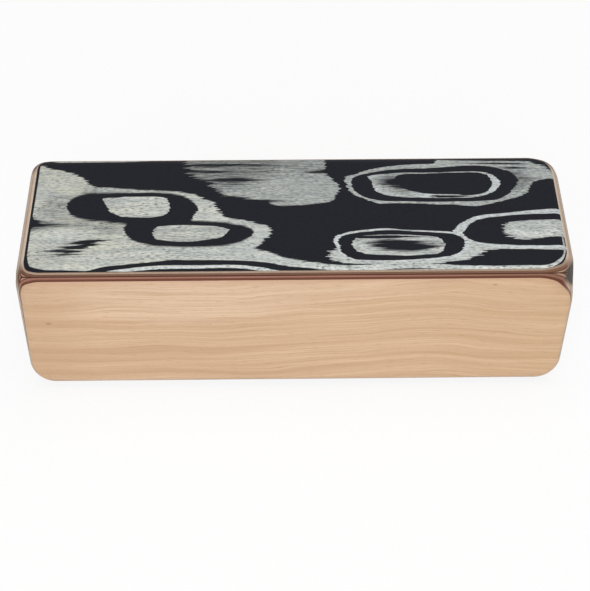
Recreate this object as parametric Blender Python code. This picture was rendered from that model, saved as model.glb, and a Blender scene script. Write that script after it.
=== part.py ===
"""A hand-held wooden box shaker: six mitred plywood panels, glued up, sanded round, with loose beads sealed inside.

Metres, +Z up. The origin is the middle of the underside, +X runs along the length, and the front faces -Y.
"""

import math

import bmesh
import bpy
from mathutils import Vector

# Outside of the finished box
LENGTH = 0.160
DEPTH = 0.0508
HEIGHT = 0.0495

# Plies of every panel, from the face inwards, and the glue between them
FACE_VENEER = 0.00060
OUTER_CROSSBAND = 0.00030
CORE = 0.00180
INNER_CROSSBAND = 0.00030
LINER = 0.00060
GLUE_LINE = 0.00005
MITRE_GLUE = 0.00010

# Sanding of the glued box: one rounding all over to start with, then each way of edge to a radius of its own
BALL_RADIUS = 0.0045
LONG_EDGE_RADIUS = 0.0048
CROSS_EDGE_RADIUS = 0.0045
UPRIGHT_EDGE_RADIUS = 0.0039
EDGE_EASE = 0.0060
SANDING_ALLOWANCE = 0.0010

# Wear of the corners, done by hand: how far in from the sharp corner it reaches, and how softly it runs out
TOP_LEFT_FRONT_REACH = 0.0060
TOP_LEFT_BACK_REACH = 0.0054
TOP_RIGHT_REACH = 0.0071
UNDER_REACH = 0.0074
WEAR_ROUNDING = 0.0038
WEAR_LENGTH = 0.0105

# An odd number of facets round an edge, so that one of them lies square across the mitre
EDGE_FACETS = 7
WEAR_STEPS = 4

# Loose fill: each bead has a lane of its own across the box
BEAD_DIAMETER = 0.0035
BEAD_COUNT = 30
BEAD_CLEARANCE = 0.0003
GOLDEN_STEP = 0.618034

TINY = 1e-7

WALL = FACE_VENEER + OUTER_CROSSBAND + CORE + INNER_CROSSBAND + LINER + 4 * GLUE_LINE
HALF_SIZE = Vector((LENGTH, DEPTH, HEIGHT)) / 2
EDGE_RADII = (LONG_EDGE_RADIUS, CROSS_EDGE_RADIUS, UPRIGHT_EDGE_RADIUS)

PLIES = (
    ("face_veneer", FACE_VENEER),
    ("outer_crossband", OUTER_CROSSBAND),
    ("core", CORE),
    ("inner_crossband", INNER_CROSSBAND),
    ("liner", LINER),
)

# Each panel: the turn that points its face outwards, its length and width, and how far out it sits
QUARTER_TURN = math.pi / 2
PANELS = {
    "top": ((0, 0, 0), LENGTH, DEPTH, HEIGHT / 2),
    "bottom": ((math.pi, 0, 0), LENGTH, DEPTH, HEIGHT / 2),
    "front": ((QUARTER_TURN, 0, 0), LENGTH, HEIGHT, DEPTH / 2),
    "back": ((-QUARTER_TURN, 0, 0), LENGTH, HEIGHT, DEPTH / 2),
    "left_end": ((0, -QUARTER_TURN, 0), HEIGHT, DEPTH, LENGTH / 2),
    "right_end": ((0, QUARTER_TURN, 0), HEIGHT, DEPTH, LENGTH / 2),
}
BEECH_PANELS = ("front", "back")

# Colours are linear RGB: the figured panels are laid up on pale and brown plies, the beech ones on darker ones
FIGURED_COLOURS = {
    "face_veneer": (0.045, 0.048, 0.055),
    "outer_crossband": (0.39, 0.30, 0.24),
    "core": (0.19, 0.11, 0.065),
    "inner_crossband": (0.39, 0.30, 0.24),
    "liner": (0.45, 0.33, 0.22),
}
BEECH_COLOURS = {
    "face_veneer": (0.70, 0.49, 0.32),
    "outer_crossband": (0.14, 0.060, 0.033),
    "core": (0.33, 0.17, 0.12),
    "inner_crossband": (0.14, 0.060, 0.033),
    "liner": (0.45, 0.33, 0.22),
}
WOOD_ROUGHNESS = 0.5
STEEL_COLOUR = (0.55, 0.55, 0.56)
STEEL_ROUGHNESS = 0.3


def clear_scene():
    """Removes whatever the scene holds."""
    for old in list(bpy.data.objects):
        bpy.data.objects.remove(old, do_unlink=True)


def new_collection(name):
    """A collection linked to the scene."""
    collection = bpy.data.collections.new(name)
    bpy.context.scene.collection.children.link(collection)
    return collection


def new_material(name, colour, roughness, metallic):
    """A Principled material of one colour."""
    material = bpy.data.materials.new(name)
    material.use_nodes = True
    shader = material.node_tree.nodes["Principled BSDF"]
    shader.inputs["Base Color"].default_value = (*colour, 1.0)
    shader.inputs["Roughness"].default_value = roughness
    shader.inputs["Metallic"].default_value = metallic
    return material


def mesh_from(bm, name):
    """Turns a bmesh into a mesh with outward faces."""
    bmesh.ops.recalc_face_normals(bm, faces=bm.faces)
    mesh = bpy.data.meshes.new(name)
    bm.to_mesh(mesh)
    bm.free()
    return mesh


def edge_radius(axis, along):
    """The radius of an edge along an axis: its own away from the corners, the first rounding's next to them."""
    run_out = (HALF_SIZE[axis] - BALL_RADIUS - abs(along)) / EDGE_EASE
    share = min(max(run_out, 0.0), 1.0)
    share = share * share * (3 - 2 * share)
    return BALL_RADIUS + (EDGE_RADII[axis] - BALL_RADIUS) * share


def corner_reach(point):
    """How far in from the sharp corner the wear of the nearest corner reaches."""
    if point.z < 0:
        return UNDER_REACH
    if point.x > 0:
        return TOP_RIGHT_REACH
    return TOP_LEFT_FRONT_REACH if point.y < 0 else TOP_LEFT_BACK_REACH


def wear_depth(within, lean):
    """How deep a corner's wear sinks a surface that leans towards the corner, by how far within its reach it lies."""
    middle = WEAR_ROUNDING + within * lean
    spread = 1 + lean * lean
    return (middle - math.sqrt(middle * middle - spread * within * within)) / spread


def sanded(point):
    """Moves a point of a block that is rounded alike all over to where its own edge and corner are sanded to."""
    under = Vector([half - abs(place) for half, place in zip(HALF_SIZE, point)])
    rounded = [depth < BALL_RADIUS + TINY for depth in under]
    radius = BALL_RADIUS
    if sum(rounded) == 2:
        axis = rounded.index(False)
        radius = edge_radius(axis, point[axis])
    facing = Vector((0, 0, 0))
    for i in range(3):
        if rounded[i]:
            facing[i] = 1 - under[i] / BALL_RADIUS
            under[i] *= radius / BALL_RADIUS
    within = corner_reach(point) - sum(under) / math.sqrt(3)
    if within > 0:
        under += facing * wear_depth(within, sum(facing) / math.sqrt(3))
    return Vector([math.copysign(half - depth, place) for half, depth, place in zip(HALF_SIZE, under, point)])


def make_sanded_block(collection):
    """The outer form that sanding gives the glued box, used to trim every ply."""
    bm = bmesh.new()
    bmesh.ops.create_cube(bm, size=1.0)
    bmesh.ops.scale(bm, vec=HALF_SIZE * 2, verts=bm.verts)
    bmesh.ops.bevel(
        bm, geom=bm.edges[:], offset=BALL_RADIUS, offset_type="OFFSET", segments=EDGE_FACETS,
        profile=0.5, affect="EDGES", clamp_overlap=False, material=-1,
    )
    for axis in range(3):
        for side in (-1, 1):
            for step in range(1, WEAR_STEPS + 1):
                inwards = BALL_RADIUS + (WEAR_LENGTH - BALL_RADIUS) * step / WEAR_STEPS
                place = Vector((0, 0, 0))
                place[axis] = side * (HALF_SIZE[axis] - inwards)
                direction = Vector((0, 0, 0))
                direction[axis] = 1.0
                geometry = bm.verts[:] + bm.edges[:] + bm.faces[:]
                bmesh.ops.bisect_plane(bm, geom=geometry, dist=TINY, plane_co=place, plane_no=direction)
    for vert in bm.verts:
        vert.co = sanded(vert.co)
    bmesh.ops.triangulate(bm, faces=[f for f in bm.faces if len(f.verts) > 3])
    block = bpy.data.objects.new("sanded_block", mesh_from(bm, "sanded_block"))
    block.hide_render = True
    block.display_type = "WIRE"
    collection.objects.link(block)
    return block


def mitred_sheet(name, length, width, upper, lower):
    """A sheet between two depths under a panel's face, with its four edges mitred at 45 degrees."""
    bm = bmesh.new()
    bmesh.ops.create_cube(bm, size=1.0)
    glue_inset = MITRE_GLUE / 2 * math.sqrt(2)
    for vert in bm.verts:
        depth = upper if vert.co.z > 0 else lower
        vert.co.x *= length - 2 * (depth + glue_inset)
        vert.co.y *= width - 2 * (depth + glue_inset)
        vert.co.z = -depth
    return mesh_from(bm, name)


def make_panel(panel, centre, block, collection):
    """One side of the box: its plies, laid up from the face inwards and trimmed to the sanded form."""
    turn, length, width, out = PANELS[panel]
    colours = BEECH_COLOURS if panel in BEECH_PANELS else FIGURED_COLOURS
    upper = 0.0
    for ply, thickness in PLIES:
        lower = upper + thickness
        name = f"{panel}_{ply}"
        start = -SANDING_ALLOWANCE if ply == "face_veneer" else upper
        sheet = bpy.data.objects.new(name, mitred_sheet(name, length, width, start, lower))
        collection.objects.link(sheet)
        sheet.parent = centre
        sheet.rotation_euler = turn
        sheet.location = sheet.rotation_euler.to_matrix() @ Vector((0, 0, out))
        trim = sheet.modifiers.new("sanding", "BOOLEAN")
        trim.operation = "INTERSECT"
        trim.object = block
        sheet.data.materials.append(new_material(name, colours[ply], WOOD_ROUGHNESS, 0.0))
        upper = lower + GLUE_LINE


def make_beads(centre, collection):
    """Loose beads on the floor of the box, one to a lane, scattered across its depth."""
    bm = bmesh.new()
    bmesh.ops.create_icosphere(bm, subdivisions=2, radius=BEAD_DIAMETER / 2)
    ball = mesh_from(bm, "bead")
    ball.shade_smooth()
    ball.materials.append(new_material("bead_steel", STEEL_COLOUR, STEEL_ROUGHNESS, 1.0))
    lane = (LENGTH - 2 * WALL) / BEAD_COUNT
    reach = DEPTH / 2 - WALL - BEAD_DIAMETER / 2 - BEAD_CLEARANCE
    height = -HEIGHT / 2 + WALL + BEAD_DIAMETER / 2 + BEAD_CLEARANCE
    for number in range(BEAD_COUNT):
        scatter = 2 * (number * GOLDEN_STEP % 1.0) - 1.0
        bead = bpy.data.objects.new(f"bead_{number + 1:02d}", ball)
        bead.parent = centre
        bead.location = (lane * (number + 0.5) - lane * BEAD_COUNT / 2, reach * scatter, height)
        collection.objects.link(bead)


def main():
    clear_scene()
    parts = new_collection("box_shaker")
    cutters = new_collection("box_shaker_cutters")
    centre = bpy.data.objects.new("box_centre", None)
    centre.location = (0, 0, HEIGHT / 2)
    parts.objects.link(centre)
    block = make_sanded_block(cutters)
    block.parent = centre
    for panel in PANELS:
        make_panel(panel, centre, block, parts)
    make_beads(centre, parts)


main()
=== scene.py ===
"""The looks of a hand-held box shaker: figured and beech veneers, and the plies that sanding lays bare.

Metres, +Z up. The box lies along X on a white table, with its front to -Y. Finishes are worked out in
millimetres from the middle of the box.
"""

import math

import bmesh
import bpy
from mathutils import Matrix, Vector


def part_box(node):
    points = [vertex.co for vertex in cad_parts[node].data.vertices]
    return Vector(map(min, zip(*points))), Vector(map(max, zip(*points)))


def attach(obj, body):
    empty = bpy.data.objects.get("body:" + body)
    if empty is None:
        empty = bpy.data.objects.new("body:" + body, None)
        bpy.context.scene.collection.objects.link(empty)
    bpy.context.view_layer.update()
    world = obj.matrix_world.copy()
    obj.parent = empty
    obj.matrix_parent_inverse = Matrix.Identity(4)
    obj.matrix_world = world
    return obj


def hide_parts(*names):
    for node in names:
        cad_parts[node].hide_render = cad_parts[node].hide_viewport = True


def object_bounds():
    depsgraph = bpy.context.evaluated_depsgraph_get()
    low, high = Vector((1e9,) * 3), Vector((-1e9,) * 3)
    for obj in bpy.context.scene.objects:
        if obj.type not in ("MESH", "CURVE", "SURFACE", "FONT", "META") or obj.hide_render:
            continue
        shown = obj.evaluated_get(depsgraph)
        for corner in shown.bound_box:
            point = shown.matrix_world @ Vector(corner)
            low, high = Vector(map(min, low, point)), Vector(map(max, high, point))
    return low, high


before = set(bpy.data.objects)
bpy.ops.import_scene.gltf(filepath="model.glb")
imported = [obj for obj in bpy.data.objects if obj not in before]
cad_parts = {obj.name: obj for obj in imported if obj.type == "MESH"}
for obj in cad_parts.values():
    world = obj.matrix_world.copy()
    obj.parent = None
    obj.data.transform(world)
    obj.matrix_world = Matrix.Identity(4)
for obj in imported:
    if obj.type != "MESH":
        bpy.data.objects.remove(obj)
CAD_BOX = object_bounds()

# Outside of the box, from the frame
BOX_LOW, BOX_HIGH = CAD_BOX
BOX_CENTRE = (BOX_LOW + BOX_HIGH) / 2
HALF_SIZE = (BOX_HIGH - BOX_LOW) / 2
MM = 1000.0

# Sanding of the glued box: one rounding all over at first, then each way of edge to its own radius
BALL_RADIUS = 0.0085
LONG_EDGE_RADIUS = 0.0048
LEFT_CROSS_RADIUS = 0.0049
RIGHT_CROSS_RADIUS = 0.0045
UPRIGHT_FOOT_RADIUS = 0.0020

# Under the box each corner's outline is rounder, higher than it is wide, and eases off to the middle.
# The steps are where the form is cut across to follow it.
FOOT_WIDTH = 0.0070
FOOT_HEIGHT = 0.0108
FOOT_EASE = 0.0240
FOOT_STEPS = (0.0160, 0.0175, 0.0190, 0.0205, 0.0220, 0.0240)

# An upright edge grows fuller upwards: its radius at the top, and the heights between which it grows
LEFT_UPRIGHT = (0.0034, -0.010, 0.020)
RIGHT_UPRIGHT = (0.0045, 0.0145, 0.0205)

# Wear of the corners, done by hand: how far in from the sharp corner it reaches, and how soft it is
TOP_LEFT_FRONT_REACH = 0.0060
TOP_LEFT_BACK_REACH = 0.0054
TOP_RIGHT_BACK_REACH = 0.0071
TOP_RIGHT_FRONT_REACH = 0.0082
EVEN_LEAN = Vector((1, 1, 1)).normalized()
TOP_RIGHT_FRONT_LEAN = Vector((0.577, 0.65, 0.495)).normalized()
WEAR_ROUNDING = 0.0038
TOP_RIGHT_FRONT_ROUNDING = 0.0060
WEAR_LENGTH = 0.0145

# How finely the form is cut up, the glue in each mitre, and the angle from which an edge stays sharp
EDGE_FACETS = 21
WEAR_STEPS = 10
MITRE_GLUE = 0.00010
CUT_ANGLE = math.radians(20)
TINY = 1e-7

# Each panel: the axis that its face looks along, to which side, and what it is faced with
PANELS = {
    "top": (2, 1, "figured"),
    "bottom": (2, -1, "figured"),
    "front": (1, -1, "beech"),
    "back": (1, 1, "beech"),
    "left_end": (0, -1, "figured"),
    "right_end": (0, 1, "figured"),
}

# What the plies of each kind of panel are called
SLOTS = {
    ("figured", "face_veneer"): "figured_veneer",
    ("figured", "outer_crossband"): "pale_crossband",
    ("figured", "core"): "brown_core",
    ("beech", "face_veneer"): "beech_veneer",
    ("beech", "outer_crossband"): "dark_crossband",
    ("beech", "core"): "reddish_core",
}

# The photograph's view: angles in degrees, distances in metres from the middle of the box, and the lens
# and its sensor in millimetres
VIEW_ELEVATION = 48.03
VIEW_TURN = 0.868
VIEW_ROLL = 0.159
VIEW_DISTANCE = 0.44781
VIEW_SHIFT_RIGHT = -0.00006
VIEW_SHIFT_UP = 0.00796
VIEW_LENS = 89.26
SENSOR = 36.0

# Colours as they show on a screen, 0 to 255
BLACK_DYE = (18, 19, 26)
BLACK_DYE_WORN = (28, 30, 36)
GREY_DYE_FRONT = (218, 222, 217)
# The grey to the back is partly the dye's tone and partly painted shade
GREY_DYE_BACK_AND_SHADE = (180, 184, 181)
GREY_DYE_WARM = (215, 214, 198)
GREY_DYE_FULL = (238, 240, 234)
GREY_DYE_COOL = (158, 165, 167)
GREY_DYE_FLECK = (94, 98, 97)
GREY_DYE_MOTTLE = (136, 141, 139)
GREY_DYE_BRIGHT = (222, 223, 214)
GREY_DYE_RING = (224, 230, 234)
BEECH = (220, 189, 157)
BEECH_RICH = (194, 158, 124)
BEECH_GOLDEN = (204, 167, 124)
BEECH_PALE = (225, 196, 168)
BEECH_RAY = (180, 140, 106)
BEECH_CUT = (188, 148, 122)
PIN_KNOT = (150, 104, 74)
PALE_PLY = (172, 152, 134)
PALE_PLY_DEEP = (146, 120, 100)
DARK_PLY = (108, 64, 46)
DARK_PLY_DEEP = (88, 50, 36)
BROWN_PLY = (106, 72, 54)
BROWN_PLY_LIGHT = (121, 87, 68)
RED_PLY = (144, 98, 82)
RED_PLY_LIGHT = (162, 114, 97)
RIGHT_PLY = (124, 90, 70)
GLUE = (84, 50, 38)
PALE_LINE = (188, 162, 140)
# The pale, beige and pink side grain colours are partly painted light on the ends
SIDE_GRAIN_PALE_AND_LIGHT = (220, 198, 178)
SIDE_GRAIN_BEIGE_AND_LIGHT = (202, 184, 164)
SIDE_GRAIN_PINK_AND_LIGHT = (196, 168, 152)
SIDE_GRAIN_SHADE = (164, 138, 120)
SIDE_GRAIN_DARK = (104, 72, 56)
SIDE_GRAIN_RIM = (196, 176, 158)
# The plies are darker at the right end's front corner
CORNER_DARKENING = (80, 77, 73)
LINER_PLY = (190, 160, 128)
LINER_PLY_DEEP = (168, 134, 102)
STEEL = (190, 190, 192)
STEEL_DULL = (150, 150, 154)
TABLE = (252, 252, 252)


def linear(colour):
    """A screen colour as linear RGBA."""
    shares = [value / 255 for value in colour]
    light = [s / 12.92 if s <= 0.04045 else ((s + 0.055) / 1.055) ** 2.4 for s in shares]
    return (*light, 1.0)


class Amount:
    """A number that varies over a surface. Sums written on it become Math nodes."""

    def __init__(self, nodes, socket):
        self.nodes = nodes
        self.socket = socket

    def sum(self, operation, *values, clamp=False):
        """What one Math node makes of some values."""
        settings = {"operation": operation, "use_clamp": clamp}
        node = self.nodes.node("ShaderNodeMath", settings, dict(enumerate(values)))
        return Amount(self.nodes, node.outputs[0])

    def __add__(self, other):
        return self.sum("ADD", self, other)

    def __radd__(self, other):
        return self.sum("ADD", other, self)

    def __sub__(self, other):
        return self.sum("SUBTRACT", self, other)

    def __rsub__(self, other):
        return self.sum("SUBTRACT", other, self)

    def __mul__(self, other):
        return self.sum("MULTIPLY", self, other)

    def __rmul__(self, other):
        return self.sum("MULTIPLY", other, self)

    def __truediv__(self, other):
        return self.sum("DIVIDE", self, other)

    def __rtruediv__(self, other):
        return self.sum("DIVIDE", other, self)

    def __pow__(self, power):
        return self.sum("POWER", self, power)

    def __abs__(self):
        return self.sum("ABSOLUTE", self)

    def at_least(self, other):
        return self.sum("MAXIMUM", self, other)

    def at_most(self, other):
        return self.sum("MINIMUM", self, other)

    def clamped(self):
        return self.sum("ADD", self, 0.0, clamp=True)

    def above(self, level, soft):
        """1 where the amount is over a level, 0 where it is under it, with a soft step between."""
        return self.sum("MULTIPLY_ADD", self, 1 / soft, 0.5 - level / soft, clamp=True)

    def below(self, level, soft):
        """1 where the amount is under a level, 0 where it is over it, with a soft step between."""
        return self.sum("MULTIPLY_ADD", self, -1 / soft, 0.5 + level / soft, clamp=True)


class Nodes:
    """The nodes of a material or of the world."""

    def __init__(self, tree):
        self.tree = tree

    def feed(self, socket, value):
        """Links a socket to an amount or another socket, or sets it."""
        if isinstance(value, Amount):
            value = value.socket
        if isinstance(value, bpy.types.NodeSocket):
            self.tree.links.new(value, socket)
        else:
            socket.default_value = value

    def node(self, kind, settings, inputs):
        """A node of any kind: its settings first, a curve's points among them, then its sockets."""
        node = self.tree.nodes.new(kind)
        for name, value in settings.items():
            if name == "curve":
                set_curve(node.mapping, value)
            else:
                setattr(node, name, value)
        for socket, value in inputs.items():
            self.feed(node.inputs[socket], value)
        return node


class Finish(Nodes):
    """A procedural material in the making."""

    def __init__(self, name, roughness, specular):
        self.material = bpy.data.materials.new(name)
        self.material.use_nodes = True
        super().__init__(self.material.node_tree)
        self.shader = self.tree.nodes["Principled BSDF"].inputs
        self.shader["Roughness"].default_value = roughness
        self.shader["Specular IOR Level"].default_value = specular

    def places(self):
        """X, Y and Z in millimetres from the middle of the box."""
        spot = self.node("ShaderNodeTexCoord", {}, {}).outputs["Object"]
        inputs = {0: spot, 1: (MM, MM, MM), 2: -MM * BOX_CENTRE}
        in_mm = self.node("ShaderNodeVectorMath", {"operation": "MULTIPLY_ADD"}, inputs)
        parts = self.node("ShaderNodeSeparateXYZ", {}, {0: in_mm.outputs[0]})
        return [Amount(self, parts.outputs[i]) for i in range(3)]

    def streaks(self, u, v, along, across, detail, seed):
        """Noise about zero, drawn out along the grain: waves to a millimetre along it and across it."""
        spot = self.node("ShaderNodeCombineXYZ", {}, {0: u * along, 1: v * across, 2: seed})
        inputs = {"Vector": spot.outputs[0], "Scale": 1.0, "Detail": detail}
        noise = self.node("ShaderNodeTexNoise", {"noise_dimensions": "3D"}, inputs)
        return Amount(self, noise.outputs[0]) - 0.5

    def mixed(self, share, first, second):
        """A colour between two: each is a screen colour or a socket."""
        ends = [linear(c) if isinstance(c, tuple) else c for c in (first, second)]
        node = self.node("ShaderNodeMix", {"data_type": "RGBA"}, {0: share, 6: ends[0], 7: ends[1]})
        return node.outputs[2]

    def layered(self, colour, *layers):
        """A colour with others laid over it in turn, each by a share."""
        for share, layer in layers:
            colour = self.mixed(share, colour, layer)
        return colour

    def raised(self, height, strength, distance):
        """Feeds a height to the surface's bump."""
        inputs = {"Height": height, "Strength": strength, "Distance": distance}
        bump = self.node("ShaderNodeBump", {}, inputs)
        self.feed(self.shader["Normal"], bump.outputs[0])


def depth_under(panel, spots):
    """How deep a spot lies under a panel's face, in millimetres."""
    axis, side, _ = PANELS[panel]
    return HALF_SIZE[axis] * MM - spots[axis] * side


def off_middle(u, v, oval):
    """How far a spot lies off the middle of an oval, squared: it is 1 on the outline."""
    along, across, half_length, half_width = oval
    return ((u - along) / half_length) ** 2.0 + ((v - across) / half_width) ** 2.0


def set_curve(mapping, points):
    """Gives a Float Curve its points, each from 0 to 1 both ways."""
    curve = mapping.curves[0]
    while len(curve.points) < len(points):
        curve.points.new(0.5, 0.5)
    for point, place in zip(curve.points, points):
        point.location = place
        point.handle_type = "AUTO_CLAMPED"
    mapping.update()


# Tones of the dyed veneer's figure, from dark at 0 to light at 1, and past it for the brightest rings
DARK = 0.0
SMOKY = 0.5
DIM = 0.66
FAIR = 0.76
STREAKY = 0.8
LIGHT = 1.0
BRIGHT = 1.5

# Shapes of the figure, in millimetres from the middle of the sheet. Each is a row of stations: how far
# along the grain, and where across it the shape starts and ends
PAST_EDGE = 30.0


def from_edge(*stations):
    """Stations of a shape that starts past the sheet's edge: they say only where it ends."""
    return tuple((along, -PAST_EDGE, end) for along, end in stations)


def to_edge(*stations):
    """Stations of a shape that ends past the sheet's edge: they say only where it starts."""
    return tuple((along, start, PAST_EDGE) for along, start in stations)


LEFT_FIELD = from_edge(
    (-84, 22), (-77, 20.6), (-74, 19.2), (-70, 18.4), (-66, 16.8), (-63, 15), (-61, 12.6), (-60, 11.4),
    (-55, 10.7), (-45, 9.6), (-35, 8.9), (-30, 7.6), (-26, 5.2), (-23.4, 3.6), (-22.4, 0.6), (-20, -2),
    (-15.5, -3.2), (-10, -5), (-8, -5.4), (-7, -7.4), (-6.6, -16.4), (-4, -18), (0, -19.1), (5, -20.5),
    (12, -21.2), (30, -21.6),
)
LEFT_FIELD_NOTCH = (
    (-12.4, -14.6, -14.5), (-10.8, -15.1, -13.6), (-9.4, -15.6, -12), (-8.2, -16.1, -10.2),
    (-7, -16.7, -7.6), (-6.2, -17.2, -6), (-5, -12, -11.9),
)
BACK_FIELD = (
    (-33, 20, 20),
    *to_edge(
        (-31.4, 18.4), (-30, 15.6), (-27, 13.6), (-24, 11.2), (-22.4, 9), (-20.8, 7.1), (-15, 6.5),
        (-10, 5.1), (-7, 3.8), (-4, 2.5), (0, 2.8), (5, 3.3), (8.4, 3.7),
    ),
    (9.6, 3.9, 16.4), (10.6, 4.2, 14.8), (11.6, 5.4, 13.2), (12.5, 7.4, 11.8), (13.2, 9.8, 9.9),
)
BACK_FIELD_SMOKE = (
    (-40, 16, 16.4),
    *to_edge((-34, 12), (-26, 9), (-18, 9.6), (-11, 13)),
    (-4, 17, 23), (4, 18.6, 20.6), (10, 19, 19.4),
)
BACK_FIELD_STREAKS = (
    ((-36, 20.2, 20.4), (-26, 19.7, 20.8), (-18, 19.9, 20.6), (-12, 20.1, 20.3)),
    ((-34, 17.4, 17.6), (-26, 16.9, 17.8), (-20, 17.1, 17.4)),
    ((-26, 13.6, 13.8), (-20, 12.9, 14.4), (-16, 13, 14.3), (-11.6, 13.6, 13.8)),
    ((3.6, 17, 17.1), (7, 16.5, 17.6), (9.4, 16.3, 18), (12, 16, 18.4)),
    ((-11.6, 4.4, 4.6), (-8, 4, 5), (-4.8, 4.4, 4.6)),
)
BACK_LEFT_RIM = to_edge((-77, 22.6), (-70, 22.1), (-55, 22.1), (-42, 22.9))
BACK_RIGHT_RIM = to_edge(
    (38, 23.4), (46, 22), (56, 21.4), (66, 21.2), (71, 20.8), (74, 19.8), (76.4, 18), (78, 17),
)
BACK_RIGHT_STREAKS = (
    ((52, 20.2, 20.3), (58, 19.8, 20.5), (66, 19.6, 20.4), (71, 19.7, 19.8)),
    ((60, 18.3, 18.4), (65, 17.8, 18.6), (70, 17.8, 18.2), (73, 17.8, 17.9)),
)
FRONT_ARCH = from_edge(
    (-62, -23), (-58, -22.3), (-54, -21.4), (-49, -20.7), (-44, -20), (-39, -19.5), (-34, -19.1),
    (-25, -19.1), (-15, -19.5), (-10, -20), (-7, -20.5), (-4.5, -21.2), (-2, -21.7), (1, -22.1),
    (5, -22.5), (10, -23),
)
FRONT_ARCH_LINE = (
    (-54.2, -23, -22.9), (-50.4, -22.9, -22.3), (-44, -22.5, -21.5), (-39, -22.2, -21.2),
    (-34, -22.1, -21.1), (-24, -22, -21.1), (-17, -22.1, -21.2), (-12, -22.5, -21.6),
    (-8.6, -22.9, -22.1), (-5, -23, -22.9),
)
LEFT_HALO = (
    (-76, 1, 3), (-72, -3, 8), (-67, -6.5, 10), (-60, -8, 10.4), (-54, -9.4, 6), (-49, -9, -2),
    (-45, -7, -5),
)
LEFT_EDGE_RUB = ((-84, -8, 2), (-78, -7.6, 1.4), (-77, -6.6, 0.2), (-76.2, -4.4, -2.4))
LEFT_EYE = (
    (-66.9, 2.8, 3.2), (-66.3, 0.8, 5), (-65, -0.6, 6.6), (-62, -2.1, 8), (-58, -2.9, 8.5),
    (-50, -4.3, 8.7), (-40, -6, 8.5), (-35, -6, 7.7), (-32, -5, 6.5), (-30.2, -3.4, 5),
    (-29.2, -0.6, 3.8), (-28.4, 1.8, 2.2),
)
LOWER_EYE = (
    (-49.7, -6.4, -5.8), (-49, -8.2, -4.4), (-47.8, -10.2, -4), (-46, -11.6, -3.5), (-43, -12.9, -3),
    (-38, -13.7, -3), (-30, -14, -3.2), (-22, -13.7, -3.9), (-18, -12.9, -4.6), (-15, -11.6, -5.5),
    (-13, -10, -6.7), (-12, -8.3, -8),
)
LEFT_EYE_CORE = (
    (-56.5, 6.1, 6.3), (-55.6, 3.2, 6.4), (-54, 0.7, 6.5), (-52, -0.8, 6.6), (-50, -1.5, 7),
    (-44, -1.8, 6.9), (-40, -1.4, 6.7), (-38, -0.6, 6.1), (-37.1, 0.6, 5), (-36.8, 2.6, 3),
)
LOWER_EYE_CORE = (
    (-41.2, -8.4, -7.6), (-40.6, -10.3, -6.2), (-38, -11.1, -5.3), (-33, -11.7, -5.1),
    (-28, -11.5, -5.2), (-24, -10.8, -5.6), (-21.5, -10.2, -6.1), (-20.3, -9, -6.5), (-19.4, -7.4, -7),
)
LEFT_STREAKS = (
    ((-66, -12.2, -12), (-63, -12.7, -11.3), (-60, -12.7, -10.7), (-57, -11.9, -10.6), (-54, -11.3, -11)),
    (
        (-68, -14, -13.8), (-64, -14.6, -13.2), (-60, -14.3, -12.3), (-57.8, -13.2, -12.2),
        (-54.6, -12.7, -12.5),
    ),
    ((-71.6, -15.2, -15), (-68, -15.8, -14.5), (-65, -16.1, -14.7), (-62, -15.5, -15.1)),
    ((-69, -16.7, -16.4), (-66, -17.1, -16.2), (-62.6, -16.6, -16.3)),
)
LEFT_SMEAR = (
    (-84, -7.4, -0.2), (-77.4, -6.8, -1.2), (-75.6, -6.3, -2.2), (-73.4, -5.8, -3.2),
    (-69.6, -5.2, -4.2),
)
BACK_RIGHT_RING = (
    (14.9, 12.8, 13.2), (15.4, 10.8, 14.8), (16.5, 8, 15.4), (18, 6.4, 16), (20, 5.2, 17),
    (22.5, 4, 18), (25, 2.9, 18.7), (30, 3.1, 19.7), (36, 2.8, 20.3), (42, 2.3, 20.5),
    *to_edge(
        (47, 2.1), (53, 1.4), (56, 1.9), (60, 3.2), (65, 5), (68, 6.2), (69.6, 8), (71, 11), (74, 12.6),
        (84, 13.8),
    ),
)
BACK_RIGHT_HALO = ((61, 12.4, 13.4), (65, 8, 17.6), (68.4, 9, 17), (72, 12.4, 13.8))
BACK_RIGHT_EYE = (
    (16.8, 11.8, 12.2), (17.3, 9.8, 13.7), (18.5, 7.9, 14.8), (20, 6.5, 15.6), (23, 5, 16.6),
    (27, 4.3, 17.4), (32, 4.1, 17.9), (40, 3.8, 18.3), (47, 3.8, 18.8), (52, 3.7, 19.2), (56, 4, 19.1),
    (60, 4.7, 18.4), (63, 6.5, 17.4), (65.4, 9.5, 16.2), (66.8, 12.2, 14),
)
BACK_RIGHT_INNER_RING = (
    (21.8, 15, 15.2), (22.8, 13, 15.6), (23.4, 10, 15.8), (24.5, 8.1, 16), (27, 6.5, 16.3),
    (31, 5.6, 16.6), (36, 5.3, 16.7), (42, 5.1, 16.7), (50, 5.1, 16.9), (55, 5.7, 16.8),
    (58, 6.9, 16.2), (60, 8.4, 14.9), (61.2, 10.6, 13), (61.5, 11.6, 12),
)
BACK_RIGHT_CORE = (
    (29.8, 12.8, 13.4), (30.6, 11.6, 14.8), (32, 9.8, 15.4), (34, 8.6, 15.8), (37, 7.6, 16),
    (41, 7, 16.1), (48, 6.8, 16.3), (50, 6.4, 16.3), (54, 6.7, 16.2), (57, 7.8, 15.5),
    (58.4, 9.6, 14.2), (59, 11.6, 12.2),
)
BACK_RIGHT_CORE_SMOKE = (
    (23.6, 12.6, 13), (26, 11, 14.6), (29, 8.8, 15.6), (33, 7.6, 15.8), (37, 9, 14), (41, 10.4, 12.6),
)
BACK_RIGHT_LINE = ((40, 5.9, 6.2), (42, 5.6, 6.5), (47, 5.6, 6.5), (51.6, 5.9, 6.2))
FRONT_RIGHT_FOOT = (
    (9.6, -18.2, -17.4), (10.6, -19.4, -15.8), (12.4, -20.4, -15), (13.4, -20.9, -16),
    *from_edge((15, -17.2), (20, -18), (40, -18), (46, -16), (48.6, -12), (56, -12.6), (84, -13.6)),
)
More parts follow.
